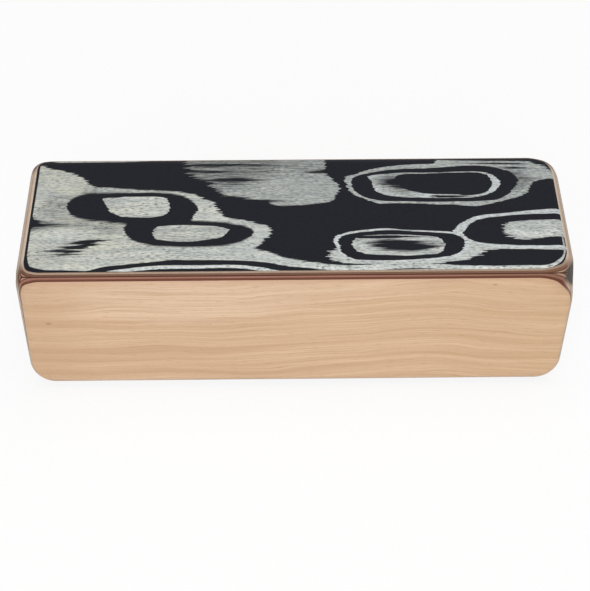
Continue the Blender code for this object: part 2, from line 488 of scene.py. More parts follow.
FRONT_RIGHT_RIM = from_edge((25, -23), (31, -22.6), (38, -22.45), (46, -22.6), (52, -23))
FRONT_RIGHT_STREAK = ((9, -20.9, -20.7), (12, -21.3, -20.4), (16, -21.4, -20.7), (20, -21.3, -21.1))
RIGHT_EDGE_RING = (
    (45.6, -8.6, -8), (46.5, -10, -6.9), (48, -12, -5.2), (50, -13, -3.7), (52, -14, -2.4),
    (55, -14.6, -1.5), (60, -15.6, -1), (65, -15.9, -0.3), (72, -15.9, 0.5), (84, -15.8, 1.3),
)
RIGHT_EDGE_EYE = (
    (48.4, -9.6, -9), (49.3, -11, -7.9), (50.5, -12, -5.9), (52.5, -12.9, -4.2), (55, -13.5, -3.2),
    (60, -14, -2.5), (66, -14.3, -1.8), (74, -14.4, -1.4), (84, -14.3, -1.1),
)
RIGHT_EDGE_CORE = (
    (61, -9, -6.6), (62, -10.8, -5.2), (63.5, -11.8, -4.8), (67, -12, -4.4), (72, -12, -4),
    (84, -12, -3.6),
)
RIGHT_EDGE_STREAK = ((68, -12, -11.7), (72, -12.2, -11), (78, -12.3, -10.9))
FRONT_RIGHT_RING = (
    (11.2, -12.6, -11), (11.8, -15.5, -9.5), (13.4, -18, -8.8), (16, -20, -7.8), (20, -20.6, -7.1),
    (25, -20.8, -6.6), (30, -20.8, -7), (36, -20.6, -7.4), (42, -20, -7.9), (46, -18.8, -8.3),
    (48.6, -17, -9.5), (50, -14.6, -11.5), (50.4, -13.2, -12.8),
)
FRONT_RIGHT_EYE = (
    (12.5, -13.3, -12.3), (12.9, -15.5, -10.8), (14.2, -17.6, -9.8), (17, -19.2, -8.9),
    (21, -19.8, -8.2), (25, -19.9, -7.8), (30, -19.8, -7.9), (36, -19.4, -8.4), (42, -18.7, -9),
    (46, -17.4, -9.7), (48, -15.4, -11), (48.8, -13.4, -12.8),
)
FRONT_RIGHT_CORE = (
    (16.1, -13.9, -13), (16.8, -15, -11.9), (18.2, -16.5, -10.2), (21, -17.6, -9.6), (26, -17.9, -9.4),
    (32, -18.1, -9.5), (37, -17.9, -9.9), (40, -17.7, -10.4), (41.6, -16.9, -11.2),
    (42.5, -15.6, -12.2), (42.9, -14.4, -13.4),
)
FRONT_RIGHT_LINE = ((16.8, -10.6, -10.4), (20, -11.1, -10), (28, -11.1, -9.9), (34.6, -10.7, -10.4))
FRONT_RIGHT_SMOKE = (
    (20, -14.2, -13.4), (24, -16, -11.8), (29, -16.8, -11), (35, -16.6, -11.4), (40.4, -14.8, -13),
)
FRONT_RIGHT_SMEARS = (
    ((23, -14.6, -14.2), (27, -15.6, -13.2), (32, -16, -12.8), (37, -15.6, -13.4), (41, -14.7, -14.2)),
    ((22, -13, -12.6), (27, -13.6, -11.8), (31, -13.4, -12), (35, -12.9, -12.6)),
)
FRONT_RIGHT_PATCH = (
    (40.4, -21.3, -21.1), (44, -21.6, -20.5), (48, -21.7, -19.9), (51, -21.9, -18.7),
    (53.5, -22, -17.3), (56, -22.1, -16), (60, -22.2, -15.6), (68, -22.3, -15.9), (73, -22.2, -16.1),
    (84, -22, -16.2),
)

# Shapes on the ends, from the back to the front and upwards
END_RING = (
    (-19, -5, -4), (-17, -10, 2), (-10, -14, 6.4), (0, -15.4, 8.2), (10, -14, 6.6), (17, -9.4, 2.4),
    (19, -5, -4),
)
END_RING_INSIDE = (
    (-15, -4.4, -4), (-12, -9, 1.4), (-4, -11.4, 4.4), (6, -11.2, 4.2), (13, -8.4, 1.2), (16, -4.4, -4),
)
END_CORE = ((-9, -4, -3.6), (-6, -6.4, -1), (1, -7, -0.2), (8, -6.2, -1), (11, -4, -3.6))
END_FRONT_CORNER = to_edge((11, 25), (15, 22), (20, 19.5), (28, 17.5))
END_FOOT = from_edge((-28, -13), (-18, -18), (-8, -21.4), (4, -25))

# How far fibres stray past the ends of a shape, how soft its sides are, and how much rings are thinned
FINE_FEATHER = 2.0
RING_FEATHER = 3.5
FIELD_FEATHER = 7.0
RAGGED_FEATHER = 11.0
LONG_FEATHER = 15.0
CRISP = 0.30
SOFT = 0.7
FADED = 1.3
SMUDGE = 2.6
SMOKE = 3.0
HAZE = 6.0
RING_INSET = 0.36
THIN_RING_INSET = 0.55
CORE_INSET = 0.22

# In the finishes below, a step is a level and how soft the change there is. An oval is its place along
# and across the grain, and half of its length and width. Noise is its waves to a millimetre along the
# grain and across it, its detail and its seed. A bump is its strength and its height in metres.

# Grain of the dyed veneer
WANDER_ALONG = (0.05, 0.3, 2.0, 3.0)
WANDER_ALONG_REACH = 1.2
WANDER_ACROSS = (0.10, 0.20, 3.0, 9.0)
WANDER_ACROSS_REACH = 0.7
STRAY_FIBRES = (0.10, 1.9, 4.0, 5.0)
SPLITS = (0.14, 2.6, 4.0, 15.0)
SPLITS_STRENGTH = 5.6
FIBRES = (0.70, 2.4, 3.0, 7.0)
FIBRE_BUMP = (0.12, 0.00006)
BACK_FIELD_RAGGED = (-8.0, 12.0)
LIGHT_STEP = (0.5, 0.7)

# Sanding goes down through the dyed layers: depths in millimetres at which one gives way to the next
LIGHT_WORN_THROUGH = 0.22
LIGHT_THICK_FROM = -78.0
LIGHT_THICKENS = 0.011
LIGHT_THICK_BEHIND = -12.0
LIGHT_THICKENS_BACK = 0.015
LIGHT_THICKENS_BACK_FROM = (-70.0, 8.0)
LEFT_CORNER = (-77.0, -22.5, 6.0, 6.0)
LEFT_CORNER_STEP = (0.6, 0.8)
LEFT_CORNER_THINS = 0.16
DARK_WORN_THROUGH = 0.22
DARK_THIN_FROM = 60.0
DARK_THICKENS = 0.012
DARK_WORN_BEFORE = (-10.0, 6.0)
SECOND_LAYER_WORN_THROUGH = 0.42
SECOND_LAYER_THIN_FROM = 76.0
SECOND_LAYER_THICKENS = 0.05
UNEVEN_WEAR = (0.06, 0.06, 1.0, 1.0)
UNEVEN_WEAR_REACH = 0.16
LAYER_SOFTNESS = 0.06

# Tones of the light dye: where they lie, and their shares
# Where the grey turns darker to the back, partly its own tone and partly painted shade
BACK_SLANT = 0.1
BACK_STEP = (-2.0, 24.0)
FULL_DYE = ((-34.0, -1.0, 24.0, 11.0), (70.0, -8.0, 8.0, 3.4))
FULL_DYE_STEP = (1.0, 1.0)
FULL_DYE_SHARE = 0.6
WARM_TINT = (0.05, 0.12, 2.0, 13.0)
WARM_TINT_STEP = (-0.04, 0.3)
WARM_TINT_LEFT = (-25.0, 60.0)
WARM_TINT_SHARE = 0.85
COOL_CLOUDS = (0.08, 0.5, 3.0, 11.0)
COOL_CLOUDS_STEP = (0.06, 0.26)
COOL_CLOUDS_SHARE = 0.7
RING_SHARE = 1.3
MOTTLE = (0.55, 2.4, 4.0, 19.0)
MOTTLE_STEP = (0.04, 0.3)
MOTTLE_SHARE = 0.5
FLECK_STEP = (0.10, 0.2)
FLECK_PATCHES = (0.10, 0.16, 2.0, 17.0)
FLECK_PATCHES_STEP = (-0.10, 0.5)
BRIGHT_FIBRE_STEP = (-0.12, 0.2)
BRIGHT_FIBRE_SHARE = 0.5
BLACK_WORN_STEP = (0.05, 0.6)
END_RIM_STEP = (0.25, 0.3)
END_RIM_SHARE = 0.75


class Figure:
    """The dyed veneer's figure, painted shape over shape."""

    def __init__(self, finish, u, v, ground):
        self.finish = finish
        self.u = u + finish.streaks(u, v, *WANDER_ALONG) * WANDER_ALONG_REACH
        self.v = v + finish.streaks(u, v, *WANDER_ACROSS) * WANDER_ACROSS_REACH
        self.fibres = finish.streaks(u, v, *STRAY_FIBRES)
        self.light = ground

    def edge(self, u, stations, which):
        """One side of a shape, as a curve along the grain."""
        first = stations[0][0]
        length = stations[-1][0] - first
        points = [((s[0] - first) / length, 0.5 + s[which] / PAST_EDGE / 2) for s in stations]
        curve = self.finish.node("ShaderNodeFloatCurve", {"curve": points}, {1: (u - first) / length})
        return (Amount(self.finish, curve.outputs[0]) - 0.5) * (2 * PAST_EDGE)

    def inside(self, stations, feather):
        """How far a spot lies inside a shape, from the nearer of its two sides."""
        u = self.u + self.fibres * feather
        return (self.v - self.edge(u, stations, 1)).at_most(self.edge(u, stations, 2) - self.v)

    def shape(self, tone, stations, feather, soft, inset=0.0):
        """Lays one tone over what is there."""
        self.light = self.light + (tone - self.light) * self.inside(stations, feather).above(inset, soft)

    def shade(self, tone, stations, feather, soft):
        """Brings what is lighter than a tone down to it."""
        darker = self.light.at_most(tone)
        self.light = self.light + (darker - self.light) * self.inside(stations, feather).above(0.0, soft)


def draw_sheet(figure):
    """The figure of the large panels."""
    figure.shape(LIGHT, LEFT_FIELD, FIELD_FEATHER, SOFT)
    figure.shape(DARK, LEFT_FIELD_NOTCH, FIELD_FEATHER, SOFT)
    back_feather = RING_FEATHER + figure.u.below(*BACK_FIELD_RAGGED) * LONG_FEATHER
    figure.shape(STREAKY, BACK_FIELD, back_feather, SOFT)
    figure.shade(SMOKY, BACK_FIELD_SMOKE, RAGGED_FEATHER, HAZE)
    for stations in BACK_FIELD_STREAKS:
        figure.shape(DARK, stations, RAGGED_FEATHER, FADED)
    figure.shape(LIGHT, BACK_LEFT_RIM, FINE_FEATHER, CRISP)
    figure.shape(DARK, FRONT_ARCH, FINE_FEATHER, CRISP)
    figure.shape(BRIGHT, FRONT_ARCH_LINE, FINE_FEATHER, CRISP)
    figure.shade(DIM, LEFT_HALO, FINE_FEATHER, HAZE)
    figure.shape(DARK, LEFT_EDGE_RUB, FINE_FEATHER, SOFT)
    figure.shape(DARK, LEFT_EYE, FINE_FEATHER, FADED)
    figure.shape(DARK, LOWER_EYE, FINE_FEATHER, FADED)
    figure.shape(LIGHT, LEFT_EYE_CORE, FINE_FEATHER, CRISP)
    figure.shape(FAIR, LOWER_EYE_CORE, FINE_FEATHER, CRISP)
    for stations in LEFT_STREAKS:
        figure.shape(DARK, stations, LONG_FEATHER, SOFT)
    figure.shape(DARK, LEFT_SMEAR, RAGGED_FEATHER, SMUDGE)
    figure.shape(LIGHT, BACK_RIGHT_RING, RING_FEATHER, CRISP, RING_INSET)
    figure.shade(SMOKY, BACK_RIGHT_HALO, RAGGED_FEATHER, SMOKE)
    figure.shape(DARK, BACK_RIGHT_EYE, FINE_FEATHER, CRISP)
    figure.shape(BRIGHT, BACK_RIGHT_INNER_RING, FINE_FEATHER, CRISP, RING_INSET)
    figure.shape(DARK, BACK_RIGHT_CORE_SMOKE, RAGGED_FEATHER, HAZE)
    figure.shape(DARK, BACK_RIGHT_CORE, FINE_FEATHER, CRISP)
    figure.shape(DARK, BACK_RIGHT_LINE, RAGGED_FEATHER, CRISP)
    for stations in (BACK_RIGHT_RIM, *BACK_RIGHT_STREAKS):
        figure.shape(DARK, stations, RAGGED_FEATHER, SOFT)
    figure.shape(LIGHT, FRONT_RIGHT_FOOT, RAGGED_FEATHER, CRISP)
    figure.shape(DARK, FRONT_RIGHT_STREAK, RAGGED_FEATHER, CRISP)
    figure.shape(DARK, FRONT_RIGHT_RIM, RAGGED_FEATHER, CRISP)
    figure.shape(BRIGHT, RIGHT_EDGE_RING, FINE_FEATHER, CRISP, RING_INSET)
    figure.shape(DARK, RIGHT_EDGE_EYE, FINE_FEATHER, CRISP)
    figure.shape(LIGHT, RIGHT_EDGE_CORE, RAGGED_FEATHER, CRISP)
    figure.shape(DARK, RIGHT_EDGE_STREAK, RAGGED_FEATHER, CRISP)
    figure.shape(BRIGHT, FRONT_RIGHT_RING, FINE_FEATHER, CRISP, THIN_RING_INSET)
    figure.shape(DARK, FRONT_RIGHT_EYE, FINE_FEATHER, CRISP)
    figure.shape(LIGHT, FRONT_RIGHT_CORE, FINE_FEATHER, CRISP, CORE_INSET)
    figure.shape(DARK, FRONT_RIGHT_LINE, RAGGED_FEATHER, CRISP)
    figure.shade(SMOKY, FRONT_RIGHT_SMOKE, RAGGED_FEATHER, SMOKE)
    for stations in FRONT_RIGHT_SMEARS:
        figure.shape(DARK, stations, RAGGED_FEATHER, FADED)
    figure.shape(DARK, FRONT_RIGHT_PATCH, RAGGED_FEATHER, CRISP)


def draw_end(figure):
    """The figure of the end panels."""
    figure.shape(DARK, END_RING, FINE_FEATHER, CRISP)
    figure.shape(LIGHT, END_RING_INSIDE, FINE_FEATHER, CRISP)
    figure.shape(DARK, END_CORE, RAGGED_FEATHER, SOFT)
    figure.shape(DARK, END_FRONT_CORNER, RAGGED_FEATHER, SOFT)
    figure.shape(DARK, END_FOOT, RAGGED_FEATHER, SOFT)


def sanded_layers(finish, u, v, depth, light):
    """What is left of the figure, and of the layers under it, where sanding has gone through them."""
    wear = depth + finish.streaks(u, v, *UNEVEN_WEAR) * UNEVEN_WEAR_REACH
    to_the_right = (u - LIGHT_THICK_FROM).at_least(0.0) * LIGHT_THICKENS
    to_the_back = (v - LIGHT_THICK_BEHIND).at_least(0.0) * LIGHT_THICKENS_BACK
    at_corner = off_middle(u, v, LEFT_CORNER).below(*LEFT_CORNER_STEP) * LEFT_CORNER_THINS
    light_extra = to_the_right + to_the_back * u.above(*LIGHT_THICKENS_BACK_FROM) - at_corner
    light_left = (wear - light_extra).below(LIGHT_WORN_THROUGH, LAYER_SOFTNESS)
    dark_extra = (DARK_THIN_FROM - u).at_least(0.0) * DARK_THICKENS
    dark_gone = (wear - dark_extra).above(DARK_WORN_THROUGH, LAYER_SOFTNESS)
    second_extra = (SECOND_LAYER_THIN_FROM - u).at_least(0.0) * SECOND_LAYER_THICKENS
    second_left = (wear - second_extra).below(SECOND_LAYER_WORN_THROUGH, LAYER_SOFTNESS)
    under_dark = dark_gone.at_most(second_left) * v.below(*DARK_WORN_BEFORE)
    return under_dark + (light_left - under_dark) * light


def grey_dye(finish, u, v, fibre, ring):
    """The light dye: paler to the front, fullest in places, with warm and cool tints and dark flecks.

    Its darkening to the back is partly the dye's own tone and partly painted shade.
    """
    tint = finish.streaks(u, v, *WARM_TINT)
    clouds = finish.streaks(u, v, *COOL_CLOUDS)
    mottle = finish.streaks(u, v, *MOTTLE)
    patches = finish.streaks(u, v, *FLECK_PATCHES)
    to_the_back = (v + u * BACK_SLANT).above(*BACK_STEP)
    full = [off_middle(u, v, oval).below(*FULL_DYE_STEP) * FULL_DYE_SHARE for oval in FULL_DYE]
    return finish.layered(
        # Darker to the back: partly the dye's own tone, partly painted shade
        finish.mixed(to_the_back, GREY_DYE_FRONT, GREY_DYE_BACK_AND_SHADE),
        *[(share, GREY_DYE_FULL) for share in full],
        (tint.above(*WARM_TINT_STEP) * u.below(*WARM_TINT_LEFT) * WARM_TINT_SHARE, GREY_DYE_WARM),
        (clouds.above(*COOL_CLOUDS_STEP) * COOL_CLOUDS_SHARE, GREY_DYE_COOL),
        (ring * RING_SHARE, GREY_DYE_RING),
        (mottle.above(*MOTTLE_STEP) * MOTTLE_SHARE, GREY_DYE_MOTTLE),
        (fibre.above(*FLECK_STEP) * patches.above(*FLECK_PATCHES_STEP), GREY_DYE_FLECK),
        (fibre.below(*BRIGHT_FIBRE_STEP) * BRIGHT_FIBRE_SHARE, GREY_DYE_BRIGHT),
    )


def figured_veneer(panel, turn_u):
    """Dyed veneer in black and grey layers. Its grain runs along the box, or to the front on the ends."""
    finish = Finish(f"figured_veneer_{panel}", roughness=0.6, specular=0.1)
    spots = finish.places()
    is_end = PANELS[panel][0] == 0
    along, across = (1, 2) if is_end else (0, 1)
    u = spots[along] * turn_u
    v = spots[across]
    depth = depth_under(panel, spots)
    figure = Figure(finish, u, v, LIGHT if is_end else DARK)
    draw = draw_end if is_end else draw_sheet
    draw(figure)
    splits = finish.streaks(u, v, *SPLITS)
    tone = figure.light.at_most(LIGHT)
    light = (tone + splits * tone * (1 - tone) * SPLITS_STRENGTH).above(*LIGHT_STEP)
    if not is_end:
        light = sanded_layers(finish, u, v, depth, light)

    fibre = finish.streaks(u, v, *FIBRES)
    grey = grey_dye(finish, u, v, fibre, (figure.light - LIGHT).clamped())
    black = finish.mixed(fibre.above(*BLACK_WORN_STEP), BLACK_DYE, BLACK_DYE_WORN)
    colour = finish.mixed(light, black, grey)
    if is_end:
        colour = finish.mixed(depth.above(*END_RIM_STEP) * END_RIM_SHARE, colour, SIDE_GRAIN_RIM)
    finish.feed(finish.shader["Base Color"], colour)
    finish.raised(fibre, *FIBRE_BUMP)
    return finish.material


# Grain of the beech, which rises over a low arch
ARCH_AT = 38.0
ARCH_HALF_LENGTH = 30.0
ARCH_RISE = 5.5
WAVER = (0.03, 0.07, 2.0, 2.0)
WAVER_REACH = 5.5
BANDS = (0.008, 0.34, 3.0, 4.0)
BANDS_STEP = (0.02, 0.28)
BANDS_SHARE = 0.75
LINES = (0.012, 0.8, 2.0, 14.0)
LINES_STEP = (0.16, 0.16)
LINES_SHARE = 0.6
GRAIN = (0.03, 2.2, 3.0, 6.0)
GRAIN_STEP = (0.08, 0.25)
GRAIN_SHARE = 0.75
RAYS = (0.30, 2.6, 2.0, 8.0)
RAYS_STEP = (0.15, 0.12)
RAYS_SHARE = 0.45
RAYS_HEIGHT = 0.5
GRAIN_BUMP = (0.10, 0.00006)

# Tones of the beech and small marks in it
PALE_PATCH = (-30.0, 15.0, 26.0, 9.0)
PALE_PATCH_STEP = (1.0, 1.8)
PALE_PATCH_SHARE = 0.75
PALE_TOP_STEP = (14.0, 8.0)
PALE_TOP_LEFT = (48.0, 30.0)
PALE_TOP_SHARE = 0.45
GOLDEN_STEP = (40.0, 70.0)
GOLDEN_SHARE = 0.3
RICH_STEP = (-66.0, 16.0)
RICH_SHARE = 0.48
PIN_KNOTS = ((-72.0, 4.9, 0.9, 0.45), (56.6, 20.2, 0.7, 0.3))
PIN_KNOT_STEP = (1.0, 1.2)
PIN_KNOT_SHARE = 0.45
CUT_STEP = (0.28, 0.6)
CUT_TOP_STEP = (16.0, 8.0)
CUT_SHARE = 0.7


def beech_veneer(panel, turn_u):
    """Rotary-cut beech: low arches in the grain, fine ray flecks, and a warmer rim where it is sanded."""
    finish = Finish(f"beech_veneer_{panel}", roughness=0.5, specular=0.3)
    spots = finish.places()
    u = spots[0] * turn_u
    v = spots[2]
    depth = depth_under(panel, spots)

    arch_height = 1 / (1 + ((u - ARCH_AT) / ARCH_HALF_LENGTH) ** 2.0)
    across = v - arch_height * ARCH_RISE + finish.streaks(u, v, *WAVER) * WAVER_REACH
    bands = finish.streaks(u, across, *BANDS)
    lines = finish.streaks(u, across, *LINES)
    grain = finish.streaks(u, across, *GRAIN)
    rays = finish.streaks(u, across, *RAYS)
    from_patch = off_middle(u, v, PALE_PATCH)
    knots = [off_middle(u, v, knot).below(*PIN_KNOT_STEP) * PIN_KNOT_SHARE for knot in PIN_KNOTS]

    colour = finish.layered(
        BEECH,
        (bands.above(*BANDS_STEP) * BANDS_SHARE, BEECH_RICH),
        (from_patch.below(*PALE_PATCH_STEP) * PALE_PATCH_SHARE, BEECH_PALE),
        (v.above(*PALE_TOP_STEP) * u.below(*PALE_TOP_LEFT) * PALE_TOP_SHARE, BEECH_PALE),
        (u.above(*GOLDEN_STEP) * GOLDEN_SHARE, BEECH_GOLDEN),
        (u.below(*RICH_STEP) * RICH_SHARE, BEECH_RICH),
        (lines.above(*LINES_STEP) * LINES_SHARE, BEECH_RICH),
        (grain.above(*GRAIN_STEP) * GRAIN_SHARE, BEECH_RICH),
        (rays.above(*RAYS_STEP) * RAYS_SHARE, BEECH_RAY),
        *[(share, PIN_KNOT) for share in knots],
        (depth.above(*CUT_STEP) * v.above(*CUT_TOP_STEP) * CUT_SHARE, BEECH_CUT),
    )
    finish.feed(finish.shader["Base Color"], colour)
    finish.raised(grain + rays * RAYS_HEIGHT, *GRAIN_BUMP)
    return finish.material


# Edges of the plies: end grain, but cut along the grain near the box's ends, away from its corners.
# There the lighter colours are partly the side grain and partly painted light on the ends
PLY_LINES = (0.03, 4.0, 2.0, 1.0)
PLY_LINES_WEIGHT = 2.2
PORES = (1.6, 3.0, 2.0, 5.0)
PORES_WEIGHT = 0.6
PORE_BUMP = (0.10, 0.00005)
PLY_TONE_STEP = (0.05, 0.7)
SIDE_GRAIN_AND_LIGHT_STEP = (3.4, 2.0)
OFF_CORNER_STEP = (5.5, 4.0)

# Cores turn browner to the right, and a seam of glue shows where two of them meet
RIGHT_PLY_STEP = (50.0, 60.0)
RIGHT_PLY_SHARE = 0.6
SEAM_STEP = (0.26, 0.24)
SEAM_SIDE_SHARE = 0.7

# Lines in the cores that deeper wear lays bare: depth under the face, half of the thickness, and colour
CORE_LINES = ((1.46, 0.09, GLUE), (1.76, 0.08, PALE_LINE), (2.04, 0.09, GLUE), (2.40, 0.08, PALE_LINE))
CORE_LINE_WAVER = 0.15
CORE_LINE_SOFTNESS = 0.12
CORE_LINE_SHARE = 0.8

# A dark, pointed patch on the right end's front corner: its middle, and how far its points reach
CORNER_DARKENING_AT = (79.8, -22.4, 21.0)
CORNER_DARKENING_REACH = (4.6, 7.0, 5.2)
CORNER_DARKENING_STEP = (0.95, 0.3)


def core_marks(finish, end, side, x, nearest, middle, lines):
    """End grain and side grain of a core, with the lines in it and the seam at its mitre."""
    end = finish.mixed(x.above(*RIGHT_PLY_STEP) * RIGHT_PLY_SHARE, end, RIGHT_PLY)
    for depth, half, line_colour in CORE_LINES:
        line = abs(nearest + lines * CORE_LINE_WAVER - depth).below(half, CORE_LINE_SOFTNESS)
        end = finish.mixed(line * CORE_LINE_SHARE, end, line_colour)
    seam = (middle - nearest).below(*SEAM_STEP)
    return finish.mixed(seam, end, GLUE), finish.mixed(seam * SEAM_SIDE_SHARE, side, SIDE_GRAIN_SHADE)


def ply_edge(name, end_grain, side_grain_and_light, is_core):
    """A ply cut through by the sanding: two colours of its end grain and two along the grain.

    Near the ends, the lighter colours along the grain are partly painted light.
    """
    finish = Finish(name, roughness=0.6, specular=0.2)
    spots = finish.places()
    far = [half * MM - abs(place) for half, place in zip(HALF_SIZE, spots)]
    nearest = far[0].at_most(far[1]).at_most(far[2])
    farthest = far[0].at_least(far[1]).at_least(far[2])
    middle = far[0] + far[1] + far[2] - nearest - farthest
    along = spots[0] + spots[1] + spots[2]
    lines = finish.streaks(along, nearest, *PLY_LINES)
    pores = finish.streaks(along, nearest, *PORES)
    share = (lines * PLY_LINES_WEIGHT + pores * PORES_WEIGHT).above(*PLY_TONE_STEP)
    end = finish.mixed(share, *end_grain)
    side = finish.mixed(share, *side_grain_and_light)
    if is_core:
        end, side = core_marks(finish, end, side, spots[0], nearest, middle, lines)
    # Near the ends, the colours along the grain: partly side grain, partly painted light
    at_ends = far[0].below(*SIDE_GRAIN_AND_LIGHT_STEP) * farthest.above(*OFF_CORNER_STEP)
    colour = finish.mixed(at_ends, end, side)
    # The plies turn dark in a pointed patch at the right end's front corner
    off = 0.0
    for place, centre, reach in zip(spots, CORNER_DARKENING_AT, CORNER_DARKENING_REACH):
        off = abs(place - centre) / reach + off
    colour = finish.mixed(off.below(*CORNER_DARKENING_STEP), colour, CORNER_DARKENING)
    finish.feed(finish.shader["Base Color"], colour)
    finish.raised(pores, *PORE_BUMP)
    return finish.material


# Bloom on the beads
BLOOM = (0.8, 0.8, 3.0, 1.0)
BLOOM_STEP = (0.0, 0.5)
STEEL_ROUGHNESS = 0.3
BLOOM_ROUGHNESS = 0.2


def bead_steel():
    """Small bright beads with a dull bloom."""
    finish = Finish("bead_steel", STEEL_ROUGHNESS, specular=0.5)
    x, y, z = finish.places()
    bloom = finish.streaks(x + z, y, *BLOOM)
    finish.feed(finish.shader["Base Color"], finish.mixed(bloom.above(*BLOOM_STEP), STEEL, STEEL_DULL))
    finish.feed(finish.shader["Roughness"], STEEL_ROUGHNESS + bloom * BLOOM_ROUGHNESS)
    finish.feed(finish.shader["Metallic"], 1.0)
    return finish.material


def eased(share):
    """A share from 0 to 1 that starts and ends gently."""
    share = min(max(share, 0.0), 1.0)
    return share * share * (3 - 2 * share)


def edge_radii(left, height):
    """The radii of the edges along X, Y and Z that lie nearest to a point at a height from the middle."""
    head, start, end = LEFT_UPRIGHT if left else RIGHT_UPRIGHT
    upright = UPRIGHT_FOOT_RADIUS + (head - UPRIGHT_FOOT_RADIUS) * eased((height - start) / (end - start))
    return LONG_EDGE_RADIUS, LEFT_CROSS_RADIUS if left else RIGHT_CROSS_RADIUS, upright


def spread_out(depth, start):
    """Spreads the points between a rounding and the end of the wear, to begin where the rounding ends."""
    run = (depth - BALL_RADIUS) / (WEAR_LENGTH - BALL_RADIUS)
    return start + run * (WEAR_LENGTH - start) if run < 1 else depth


def rounding(facing, axis, radii):
    """The radius of a surface's rounding along an axis, between those of the edges that meet there."""
    one = (axis + 1) % 3
    other = (axis + 2) % 3
    shares = (facing[one] ** 2, facing[other] ** 2)
    return (shares[0] * radii[other] + shares[1] * radii[one]) / max(sum(shares), TINY)


def corner_wear(point):
    """Which way the wear of the nearest top corner leans, how far in it reaches, and how soft it is."""
    if point.x > 0 and point.y < 0:
        return TOP_RIGHT_FRONT_LEAN, TOP_RIGHT_FRONT_REACH, TOP_RIGHT_FRONT_ROUNDING
    if point.x > 0:
        return EVEN_LEAN, TOP_RIGHT_BACK_REACH, WEAR_ROUNDING
    return EVEN_LEAN, TOP_LEFT_FRONT_REACH if point.y < 0 else TOP_LEFT_BACK_REACH, WEAR_ROUNDING


def wear_depth(within, facing, softness):
    """How deep wear sinks a surface that lies so far within its reach and faces the corner by so much."""
    if within < 0:
        return 0.0
    middle = softness + within * facing
    spread = 1 + facing * facing
    return (middle - math.sqrt(middle * middle - spread * within * within)) / spread


def sanded_head(point, under, facing, rounded):
    """The depths of a point of the upper half: every edge to its own radius, then the corners worn."""
    for axis in range(3):
        if not rounded[axis]:
            under[axis] = spread_out(under[axis], LONG_EDGE_RADIUS)
    radii = edge_radii(point.x < 0, HALF_SIZE.z if rounded[2] else HALF_SIZE.z - under.z)
    for axis in range(3):
        if rounded[axis]:
            under[axis] *= rounding(facing, axis, radii) / BALL_RADIUS
    lean, reach, softness = corner_wear(point)
    return under + facing * wear_depth(reach - under.dot(lean), facing.dot(lean), softness)


def sanded_foot(point, under, facing, rounded):
    """The depths of a point of the lower half: first the outline is rounded, then the edge along it."""
    long_edge, cross, upright = edge_radii(point.x < 0, point.z)
    fuller = eased((FOOT_EASE - under.y) / (FOOT_EASE - LONG_EDGE_RADIUS))
    width = cross + (FOOT_WIDTH - cross) * fuller
    height = cross + (FOOT_HEIGHT - cross) * fuller
    flat = math.hypot(facing.x, facing.z)
    turn = Vector((facing.x, facing.z)) if flat > TINY else Vector((rounded[0], rounded[2]))
    turn.normalize()
    inwards = Vector((turn.x / width, turn.y / height)).normalized()
    edge = upright * turn.x ** 2 + long_edge * turn.y ** 2
    inset = edge * (1 - flat)
    moved = Vector((
        width * (1 - turn.x) + inset * inwards.x,
        edge * (1 - facing.y),
        height * (1 - turn.y) + inset * inwards.y,
    ))
    if not rounded[2]:
        under.z = spread_out(under.z, FOOT_HEIGHT)
    return Vector([moved[axis] if rounded[axis] else under[axis] for axis in range(3)])


def sanded(point):
    """Moves a point of an evenly rounded block to where its own edge and corner are sanded to."""
    under = Vector([half - abs(place) for half, place in zip(HALF_SIZE, point)])
    facing = Vector([max(1 - depth / BALL_RADIUS, 0.0) for depth in under])
    rounded = [depth < BALL_RADIUS + TINY for depth in under]
    shaping = sanded_head if point.z > 0 else sanded_foot
    under = shaping(point, under, facing, rounded)
    moved = [math.copysign(half - depth, place) for half, depth, place in zip(HALF_SIZE, under, point)]
    return Vector(moved)


def pointing(axis, side):
    """A direction along an axis, to one side."""
    direction = Vector((0, 0, 0))
    direction[axis] = side
    return direction


def slice_through(bm, place, direction, clear_outer=False):
    """Cuts a mesh along a plane, and can clear away what lies beyond it."""
    geometry = bm.verts[:] + bm.edges[:] + bm.faces[:]
    bmesh.ops.bisect_plane(
        bm, geom=geometry, dist=TINY, plane_co=place, plane_no=direction, clear_outer=clear_outer,
    )


def sanded_block():
    """The outer form that sanding gives the glued box, about its own middle."""
    bm = bmesh.new()
    bmesh.ops.create_cube(bm, size=1.0)
    bmesh.ops.scale(bm, vec=HALF_SIZE * 2, verts=bm.verts)
    bmesh.ops.bevel(
        bm, geom=bm.edges[:], offset=BALL_RADIUS, offset_type="OFFSET", segments=EDGE_FACETS,
        profile=0.5, affect="EDGES", clamp_overlap=False, material=-1,
    )
    wear_run = WEAR_LENGTH - BALL_RADIUS
    wear_steps = [BALL_RADIUS + wear_run * step / WEAR_STEPS for step in range(1, WEAR_STEPS + 1)]
    for axis in range(3):
        for side in (-1, 1):
            for inwards in (*wear_steps, *FOOT_STEPS) if axis == 1 else wear_steps:
                place = pointing(axis, side) * (HALF_SIZE[axis] - inwards)
                slice_through(bm, place, pointing(axis, 1))
    for vert in bm.verts:
        vert.co = sanded(vert.co)
    return bm


def saw_off(bm, place, direction):
    """Cuts away what lies beyond a plane and closes the cut."""
    slice_through(bm, place, direction, clear_outer=True)
    bmesh.ops.holes_fill(bm, edges=[e for e in bm.edges if e.is_boundary], sides=0)


def ply_depths(panel, ply):
    """How far under the panel's face a ply starts and ends, from the frame."""
    axis, side, _ = PANELS[panel]
    low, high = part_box(f"{panel}_{ply}")
    if side > 0:
        return BOX_HIGH[axis] - high[axis], BOX_HIGH[axis] - low[axis]
    return low[axis] - BOX_LOW[axis], high[axis] - BOX_LOW[axis]


